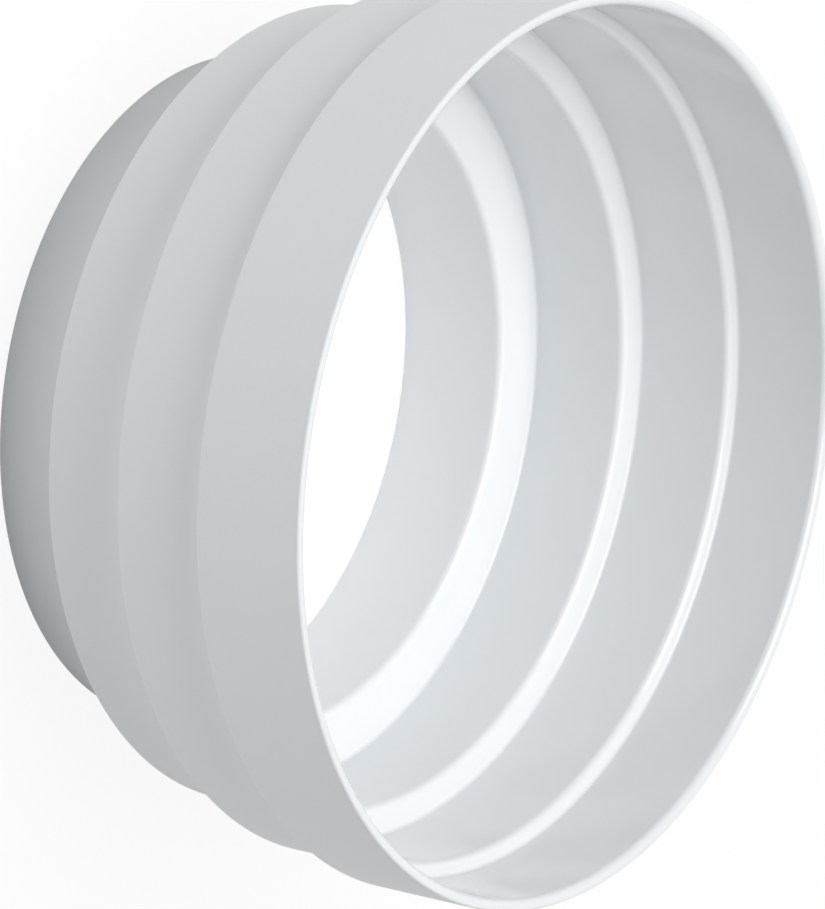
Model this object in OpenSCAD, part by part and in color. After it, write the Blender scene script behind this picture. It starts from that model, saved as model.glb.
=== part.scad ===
// Stepped duct reducer: one moulded shell with four round bands on one axis.
// It stands on its small end, with the wide mouth up. The origin is the middle
// of the small end's face, and Z runs along the axis towards the mouth.
// A duct or hose slips over the outside of the band that is its size, up to the
// flat ring where the next band begins. Air passes straight through.

/* [Band diameters, outside] */
// Outside diameter of the mouth band, the widest
mouth_d = 101.6; // [80:0.1:160]
// Outside diameter of the second band, below the mouth band
second_d = 97.8; // [70:0.1:150]
// Outside diameter of the third band
third_d = 90.4; // [60:0.1:140]
// Outside diameter of the small band, the one that the reducer stands on
small_d = 76.2; // [40:0.1:130]

/* [Band lengths along the axis] */
// Length of the mouth band, from its step to the rim
mouth_len = 13.5; // [5:0.1:30]
// Length of the second band
second_len = 12.2; // [5:0.1:30]
// Length of the third band
third_len = 12.4; // [5:0.1:30]
// Length of the small band, from the small end's face to its step
small_len = 12.7; // [5:0.1:30]

/* [Wall] */
// Wall of each band, measured at its lower end
wall = 1.5; // [0.8:0.1:3]
// Thickness of the flat rings that join one band to the next
ring_t = 1.2; // [0.8:0.1:3]
// Draft of the inside walls, which open towards the mouth, in degrees
draft = 0.5; // [0:0.1:1]

/* [Edges and corners] */
// Radius of the outside edges, and of the edges of the small end's face
edge_r = 0.3; // [0.1:0.1:0.5]
// Radius in the outside corners, where a band meets the ring above it
foot_r = 0.4; // [0.1:0.1:1]
// Radius of the inside edges, and of the rim's inside edge
lip_r = 0.9; // [0.1:0.1:1.5]
// Radius in the inside corners, where a wall meets the ring below it
corner_r = 0.4; // [0.1:0.1:1]

/* [Hidden] */
$fn = 180;

// The bands from the small end up, as [outside radius, length]
bands = [
    [small_d / 2, small_len],
    [third_d / 2, third_len],
    [second_d / 2, second_len],
    [mouth_d / 2, mouth_len],
];
top_band = len(bands) - 1;

// Height of band i's lower end above the small end's face
function base_z(i) = i == 0 ? 0 : base_z(i - 1) + bands[i - 1][1];

// Whether a ring leads from band i - 1 out to a wider band i
function widens(i) = bands[i][0] > bands[i - 1][0];

// Whether a ring joins band i - 1 to band i, which the two ends of the shell lack
function has_ring(i) = i > 0 && i <= top_band;

// Heights of the outside and inside faces where band i - 1 ends and band i begins
function outside_z(i) = base_z(i) + (has_ring(i) && !widens(i) ? ring_t : 0);
function inside_z(i) = base_z(i) + (has_ring(i) && widens(i) ? ring_t : 0);

// Inside radius of band i at height z
function bore_r(i, z) = bands[i][0] - wall + (z - base_z(i)) * tan(draft);

// Corner radii of band i: outside below and above, then inside above and below
function outside_low_r(i) = !has_ring(i) || widens(i) ? edge_r : foot_r;
function outside_high_r(i) = !has_ring(i + 1) || !widens(i + 1) ? edge_r : foot_r;
function inside_high_r(i) = !has_ring(i + 1) || widens(i + 1) ? lip_r : corner_r;
function inside_low_r(i) = !has_ring(i) ? edge_r : widens(i) ? corner_r : lip_r;

// The wall's section as [radius, height, corner radius], up the outside and down the inside
section = [
    for (i = [0:top_band]) each [
        [bands[i][0], outside_z(i), outside_low_r(i)],
        [bands[i][0], outside_z(i + 1), outside_high_r(i)],
    ],
    for (i = [top_band:-1:0]) each [
        [bore_r(i, inside_z(i + 1)), inside_z(i + 1), inside_high_r(i)],
        [bore_r(i, inside_z(i)), inside_z(i), inside_low_r(i)],
    ],
];
corners = len(section);

// Corner i of the section, counted round and round
function tip(i) = let (c = section[(i + corners) % corners]) [c[0], c[1]];
function tip_r(i) = section[(i + corners) % corners][2];

// Direction from corner i to corner k, as a vector of length 1
function way(i, k) = (tip(k) - tip(i)) / norm(tip(k) - tip(i));

// Turn at corner i: above zero at an edge that stands out, below zero in a corner
function turn(i) = cross(way(i - 1, i), way(i, i + 1));

// Share of their radii that corners i and k can have on the straight wall between them
function room(i, k) = 0.95 * norm(tip(k) - tip(i)) / (tip_r(i) + tip_r(k));

// Corner i's radius, limited by the two walls that meet there
function fitted_r(i) = tip_r(i) * min(1, room(i, i - 1), room(i, i + 1));

// The piece between corner i and the arc that rounds it
module corner_piece(i) {
    back = way(i, i - 1);
    ahead = way(i, i + 1);
    half_angle = acos(back * ahead) / 2;
    centre = tip(i) + (back + ahead) / norm(back + ahead) * fitted_r(i) / sin(half_angle);
    reach = fitted_r(i) / tan(half_angle);
    difference() {
        polygon([tip(i), tip(i) + back * reach, centre, tip(i) + ahead * reach]);
        translate(centre)
            circle(r = fitted_r(i));
    }
}

// The wall's section with its corners filled and its edges rounded
module rounded_section() {
    difference() {
        union() {
            polygon([for (i = [0:corners - 1]) tip(i)]);
            for (i = [0:corners - 1])
                if (turn(i) < 0)
                    corner_piece(i);
        }
        for (i = [0:corners - 1])
            if (turn(i) > 0)
                corner_piece(i);
    }
}

// The whole reducer: the section turned once about the axis
module reducer_shell() {
    color("whitesmoke")
        rotate_extrude()
            rounded_section();
}

reducer_shell();
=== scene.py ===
from math import cos, pi, radians, tan

import bpy
from mathutils import Matrix, Vector


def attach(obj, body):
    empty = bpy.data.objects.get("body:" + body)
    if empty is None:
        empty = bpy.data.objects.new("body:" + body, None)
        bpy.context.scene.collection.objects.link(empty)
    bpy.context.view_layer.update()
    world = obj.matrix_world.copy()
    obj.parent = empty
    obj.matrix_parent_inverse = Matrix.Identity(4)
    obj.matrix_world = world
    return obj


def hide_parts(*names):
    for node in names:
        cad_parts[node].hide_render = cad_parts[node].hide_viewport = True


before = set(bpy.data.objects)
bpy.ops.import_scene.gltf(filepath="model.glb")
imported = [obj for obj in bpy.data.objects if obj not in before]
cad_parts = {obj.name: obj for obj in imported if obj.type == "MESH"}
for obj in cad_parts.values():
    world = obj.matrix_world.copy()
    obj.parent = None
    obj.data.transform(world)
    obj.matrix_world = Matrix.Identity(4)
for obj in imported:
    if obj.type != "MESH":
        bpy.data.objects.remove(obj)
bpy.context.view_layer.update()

# Moulded shell. One injection-moulded piece of white plastic: four round bands on one axis, each joined
# to the next wider one by a flat ring. The walls carry half a degree of draft inside, where the core drew
# out, and every edge and corner is a small radius, widest on the inside lips.
MM = 0.001
BAND_RADII = {"small": 38.1 * MM, "third": 45.2 * MM, "second": 48.9 * MM, "mouth": 50.8 * MM}
BAND_LENGTHS = {"small": 12.7 * MM, "third": 12.4 * MM, "second": 12.2 * MM, "mouth": 13.5 * MM}
WALL = 1.5 * MM
RING_THICKNESS = 1.2 * MM
DRAFT = radians(0.5)
EDGE_RADIUS = 0.3 * MM
FOOT_RADIUS = 0.4 * MM
LIP_RADIUS = 0.9 * MM
CORNER_RADIUS = 0.4 * MM
TURN_STEPS = 480
ARC_STEPS = 6
FLAT_FACE_SHARE = 100
CORE_SIDE = "core_side"
OUTSIDE_ROUGHNESS = 0.6
INSIDE_ROUGHNESS = 0.07
OUTSIDE_TEXTURE = 0.3
INSIDE_TEXTURE = 0.01


def feed(socket, value):
    """Gives a node's input a value, or links it to another node's output."""
    if isinstance(value, bpy.types.NodeSocket):
        socket.id_data.links.new(value, socket)
    else:
        socket.default_value = value


def put_node(tree, kind, inputs=None, **settings):
    """A new node in the tree, with its settings and its inputs, which are named or numbered."""
    node = tree.nodes.new(kind)
    for setting, value in settings.items():
        setattr(node, setting, value)
    for name, value in (inputs or {}).items():
        feed(node.inputs[name], value)
    return node


def math_of(tree, operation, *terms):
    """The result of a Math node."""
    node = put_node(tree, "ShaderNodeMath", dict(enumerate(terms)), operation=operation)
    return node.outputs[0]


def chosen_by_index(tree, kind, items):
    """An Index Switch that gives point number 0 the first item, and so on."""
    switch = put_node(tree, "GeometryNodeIndexSwitch", data_type=kind)
    while len(switch.index_switch_items) < len(items):
        switch.index_switch_items.new()
    feed(switch.inputs["Index"], tree.nodes.new("GeometryNodeInputIndex").outputs[0])
    for number, item in enumerate(items):
        feed(switch.inputs[number + 1], item)
    return switch.outputs[0]


def stepped_shell_tree():
    """Geometry Nodes that set out the wall's section from the bands' sizes and turn it about the axis."""
    tree = bpy.data.node_groups.new("stepped_shell", "GeometryNodeTree")
    tree.is_modifier = True
    for kind in ("small", "third", "second", "mouth"):
        tree.interface.new_socket(f"{kind} radius", in_out="INPUT", socket_type="NodeSocketFloat")
        tree.interface.new_socket(f"{kind} length", in_out="INPUT", socket_type="NodeSocketFloat")
    for size in ("wall", "ring thickness", "draft", "edge radius", "foot radius", "lip radius", "corner radius"):
        tree.interface.new_socket(size, in_out="INPUT", socket_type="NodeSocketFloat")
    for count in ("turn steps", "arc steps"):
        tree.interface.new_socket(count, in_out="INPUT", socket_type="NodeSocketInt")
    tree.interface.new_socket("plastic", in_out="INPUT", socket_type="NodeSocketMaterial")
    tree.interface.new_socket("shell", in_out="OUTPUT", socket_type="NodeSocketGeometry")
    size = tree.nodes.new("NodeGroupInput").outputs

    # Corners of the section as (radius, height, rounding): up the outside, then down the inside.
    outside, inside = [], []
    base = 0.0
    slope = math_of(tree, "TANGENT", size["draft"])
    names = list(BAND_RADII)
    for name in names:
        lowest = name == names[0]
        highest = name == names[-1]
        radius = size[f"{name} radius"]
        top = math_of(tree, "ADD", base, size[f"{name} length"])
        inner_base = base if lowest else math_of(tree, "ADD", base, size["ring thickness"])
        inner_top = top if highest else math_of(tree, "ADD", top, size["ring thickness"])
        outside.append((radius, base, size["edge radius"]))
        outside.append((radius, top, size["edge radius" if highest else "foot radius"]))
        bore = math_of(tree, "SUBTRACT", radius, size["wall"])
        inner_corners = []
        for height, rounding in ((inner_top, "lip radius"), (inner_base, "edge radius" if lowest else "corner radius")):
            rise = math_of(tree, "SUBTRACT", height, base)
            drafted = math_of(tree, "MULTIPLY_ADD", rise, slope, bore)
            inner_corners.append((drafted, height, size[rounding]))
        inside = inner_corners + inside
        base = top
    corners = outside + inside

    # The section is drawn beside a ring path at the mouth's radius, which carries it round the axis.
    path_radius = size["mouth radius"]
    places = []
    for radius, height, _ in corners:
        offset = math_of(tree, "SUBTRACT", radius, path_radius)
        drop = math_of(tree, "SUBTRACT", 0.0, height)
        places.append(put_node(tree, "ShaderNodeCombineXYZ", {"X": offset, "Y": drop}).outputs[0])
    points = put_node(tree, "GeometryNodePoints", {
        "Count": len(corners),
        "Position": chosen_by_index(tree, "VECTOR", places),
        "Radius": chosen_by_index(tree, "FLOAT", [rounding for _, _, rounding in corners]),
    })
    number = tree.nodes.new("GeometryNodeInputIndex").outputs[0]
    sides = put_node(tree, "GeometryNodeStoreNamedAttribute", {
        "Geometry": points.outputs[0],
        "Name": CORE_SIDE,
        "Value": math_of(tree, "GREATER_THAN", number, len(outside) - 0.5),
    }, data_type="FLOAT", domain="POINT")
    outline = put_node(tree, "GeometryNodePointsToCurves", {"Points": sides.outputs[0]})
    closed = put_node(tree, "GeometryNodeSetSplineCyclic", {"Geometry": outline.outputs[0], "Cyclic": True})
    rounded = put_node(tree, "GeometryNodeFilletCurve", {
        "Curve": closed.outputs[0],
        "Count": size["arc steps"],
        "Radius": tree.nodes.new("GeometryNodeInputRadius").outputs[0],
    }, mode="POLY")
    path = put_node(tree, "GeometryNodeCurvePrimitiveCircle", {
        "Resolution": size["turn steps"],
        "Radius": path_radius,
    })
    turned = put_node(tree, "GeometryNodeCurveToMesh", {
        "Curve": path.outputs[0],
        "Profile Curve": rounded.outputs[0],
    })
    outward = put_node(tree, "GeometryNodeFlipFaces", {"Mesh": turned.outputs[0]})
    smooth = put_node(tree, "GeometryNodeSetShadeSmooth", {"Geometry": outward.outputs[0]})
    real = put_node(tree, "GeometryNodeRealizeInstances", {"Geometry": smooth.outputs[0]})
    finished = put_node(tree, "GeometryNodeSetMaterial", {
        "Geometry": real.outputs[0],
        "Material": size["plastic"],
    })
    put_node(tree, "NodeGroupOutput", {"shell": finished.outputs[0]})
    return tree


def moulded_plastic():
    """Satin white plastic, faintly cool, with soft mottling from the melt and a fine skin."""
    material = bpy.data.materials.new("moulded_white_plastic")
    material.use_nodes = True
    tree = material.node_tree
    tree.nodes.clear()
    place = tree.nodes.new("ShaderNodeTexCoord").outputs["Object"]
    melt = put_node(tree, "ShaderNodeTexNoise", {"Vector": place, "Scale": 70.0, "Detail": 4.0})
    tint = put_node(tree, "ShaderNodeMix", {
        "Factor": melt.outputs[0],
        "A": (0.838, 0.862, 0.88, 1.0),
        "B": (0.868, 0.888, 0.905, 1.0),
    }, data_type="RGBA")
    skin = put_node(tree, "ShaderNodeTexNoise", {"Vector": place, "Scale": 2400.0, "Detail": 3.0})
    core = put_node(tree, "ShaderNodeAttribute", attribute_name=CORE_SIDE)
    texture = put_node(tree, "ShaderNodeMix", {
        "Factor": core.outputs["Fac"],
        "A": OUTSIDE_TEXTURE,
        "B": INSIDE_TEXTURE,
    }, data_type="FLOAT")
    bump = put_node(tree, "ShaderNodeBump", {
        "Height": skin.outputs[0],
        "Strength": texture.outputs["Result"],
        "Distance": 0.00006,
    })
    sheen = put_node(tree, "ShaderNodeMix", {
        "Factor": core.outputs["Fac"],
        "A": math_of(tree, "MULTIPLY_ADD", melt.outputs[0], 0.2, OUTSIDE_ROUGHNESS - 0.1),
        "B": math_of(tree, "MULTIPLY_ADD", melt.outputs[0], 0.02, INSIDE_ROUGHNESS - 0.01),
    }, data_type="FLOAT")
    plastic = put_node(tree, "ShaderNodeBsdfPrincipled", {
        "Base Color": tint.outputs["Result"],
        "Roughness": sheen.outputs["Result"],
        "IOR": 1.5,
        "Normal": bump.outputs[0],
    })
    put_node(tree, "ShaderNodeOutputMaterial", {"Surface": plastic.outputs[0]})
    return material


shell = bpy.data.objects.new("moulded_shell", bpy.data.meshes.new("moulded_shell"))
bpy.context.scene.collection.objects.link(shell)
turning = shell.modifiers.new("turning", "NODES")
turning.node_group = stepped_shell_tree()
shell_sizes = {
    "wall": WALL,
    "ring thickness": RING_THICKNESS,
    "draft": DRAFT,
    "edge radius": EDGE_RADIUS,
    "foot radius": FOOT_RADIUS,
    "lip radius": LIP_RADIUS,
    "corner radius": CORNER_RADIUS,
    "turn steps": TURN_STEPS,
    "arc steps": ARC_STEPS,
    "plastic": moulded_plastic(),
}
for band in BAND_RADII:
    shell_sizes[f"{band} radius"] = BAND_RADII[band]
    shell_sizes[f"{band} length"] = BAND_LENGTHS[band]
for socket in turning.node_group.interface.items_tree:
    if socket.in_out == "INPUT":
        turning[socket.identifier] = shell_sizes[socket.name]
evening = shell.modifiers.new("even_flat_faces", "WEIGHTED_NORMAL")
evening.weight = FLAT_FACE_SHARE
evaluated = shell.evaluated_get(bpy.context.evaluated_depsgraph_get())
finished_mesh = bpy.data.meshes.new_from_object(evaluated)
shell.modifiers.clear()
shell.data = finished_mesh
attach(shell, "root")
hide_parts("reducer_shell")

# Floor. A plain white studio table under the shell, which is far wider than the view.
# The camera and the reflections see it white, and it keeps the shell's faint shadow.
FLOOR_HALF_WIDTH = 4.0
FLOOR_DEPTH = 0.05 * MM
FLOOR_GLOW = 0.9
FLOOR_SHADE = 0.1
FLOOR_BOUNCE = (0.86, 0.86, 0.855, 1.0)


def white_to_rays(tree):
    """1 for the rays that see the white background: the camera's, mirrored and transmitted ones."""
    path = tree.nodes.new("ShaderNodeLightPath").outputs
    seen = math_of(tree, "MAXIMUM", path["Is Camera Ray"], path["Is Glossy Ray"])
    return math_of(tree, "MAXIMUM", seen, path["Is Transmission Ray"])


def white_table():
    """White to the camera, with a little of the shadow in it, and a plain pale bounce for the light."""
    material = bpy.data.materials.new("white_table")
    material.use_nodes = True
    tree = material.node_tree
    tree.nodes.clear()
    glow = put_node(tree, "ShaderNodeEmission", {"Strength": FLOOR_GLOW})
    shade = put_node(tree, "ShaderNodeBsdfDiffuse", {"Color": (FLOOR_SHADE, FLOOR_SHADE, FLOOR_SHADE, 1.0)})
    seen = put_node(tree, "ShaderNodeAddShader", {0: glow.outputs[0], 1: shade.outputs[0]})
    bounce = put_node(tree, "ShaderNodeBsdfDiffuse", {"Color": FLOOR_BOUNCE})
    surface = put_node(tree, "ShaderNodeMixShader", {0: white_to_rays(tree), 1: bounce.outputs[0], 2: seen.outputs[0]})
    put_node(tree, "ShaderNodeOutputMaterial", {"Surface": surface.outputs[0]})
    return material


floor_mesh = bpy.data.meshes.new("table")
floor_corners = [(x * FLOOR_HALF_WIDTH, y * FLOOR_HALF_WIDTH, -FLOOR_DEPTH) for x, y in ((-1, -1), (1, -1), (1, 1), (-1, 1))]
floor_mesh.from_pydata(floor_corners, [], [(0, 1, 2, 3)])
floor_mesh.materials.append(white_table())
floor = bpy.data.objects.new("table", floor_mesh)
bpy.context.scene.collection.objects.link(floor)

# Light. A soft lamp straight overhead, a wide softbox high on the left and towards the camera, whose
# light fades under each step, and an even room round them.
ROOM_LIGHT = 0.295
OVERHEAD_POWER = 2.7
OVERHEAD_WIDTH = 0.8
OVERHEAD_PLACE = Vector((0, 0, 1.1))
KEY_POWER = 9.8
KEY_WIDTH = 0.9
KEY_PLACE = Vector((-0.315, -0.283, 1.229))


def soft_lamp(name, power, width, place, target):
    """A square lamp that faces the target."""
    lamp = bpy.data.lights.new(name, "AREA")
    lamp.energy = power
    lamp.size = width
    piece = bpy.data.objects.new(name, lamp)
    aim = (target - place).to_track_quat("-Z", "Y").to_matrix().to_4x4()
    piece.matrix_world = Matrix.Translation(place) @ aim
    bpy.context.scene.collection.objects.link(piece)


shell_middle = Vector((0, 0, sum(BAND_LENGTHS.values()) / 2))
soft_lamp("overhead", OVERHEAD_POWER, OVERHEAD_WIDTH, OVERHEAD_PLACE, shell_middle)
soft_lamp("key", KEY_POWER, KEY_WIDTH, KEY_PLACE, shell_middle)

room = bpy.data.worlds.new("white_room")
room.use_nodes = True
room.node_tree.nodes.clear()
even = put_node(room.node_tree, "ShaderNodeBackground", {"Strength": ROOM_LIGHT})
backdrop = put_node(room.node_tree, "ShaderNodeBackground", {"Color": (1, 1, 1, 1), "Strength": 1.0})
feed(even.inputs["Color"], (1, 1, 1, 1))
both = put_node(room.node_tree, "ShaderNodeMixShader", {
    0: white_to_rays(room.node_tree),
    1: even.outputs[0],
    2: backdrop.outputs[0],
})
put_node(room.node_tree, "ShaderNodeOutputWorld", {"Surface": both.outputs[0]})
bpy.context.scene.world = room
bpy.context.scene.view_settings.view_transform = "Standard"

# Camera. It looks down into the mouth from a little under a metre away, and it is rolled so that the
# shell's axis lies across the picture, mouth to the right.
PICTURE_SIZE = (825, 909)
FOCAL_PIXELS = 7181.5
SENSOR = 36.0
ELEVATION = radians(34.993)
ROLL = radians(100.64)
DISTANCE = 785.9 * MM
MOUTH_RIGHT_OF_MIDDLE = 18.27 * MM
MOUTH_BELOW_MIDDLE = 0.1 * MM

lens = bpy.data.cameras.new("camera")
lens.sensor_width = SENSOR
lens.lens = FOCAL_PIXELS * SENSOR / max(PICTURE_SIZE)
camera = bpy.data.objects.new("camera", lens)
bpy.context.scene.collection.objects.link(camera)
mouth_centre = Vector((0, 0, sum(BAND_LENGTHS.values())))
turn = Matrix.Rotation(pi / 2 - ELEVATION, 4, "X") @ Matrix.Rotation(ROLL, 4, "Z")
mouth_in_view = turn @ Vector((MOUTH_RIGHT_OF_MIDDLE, -MOUTH_BELOW_MIDDLE, -DISTANCE))
camera.matrix_world = Matrix.Translation(mouth_centre - mouth_in_view) @ turn
bpy.context.scene.camera = camera
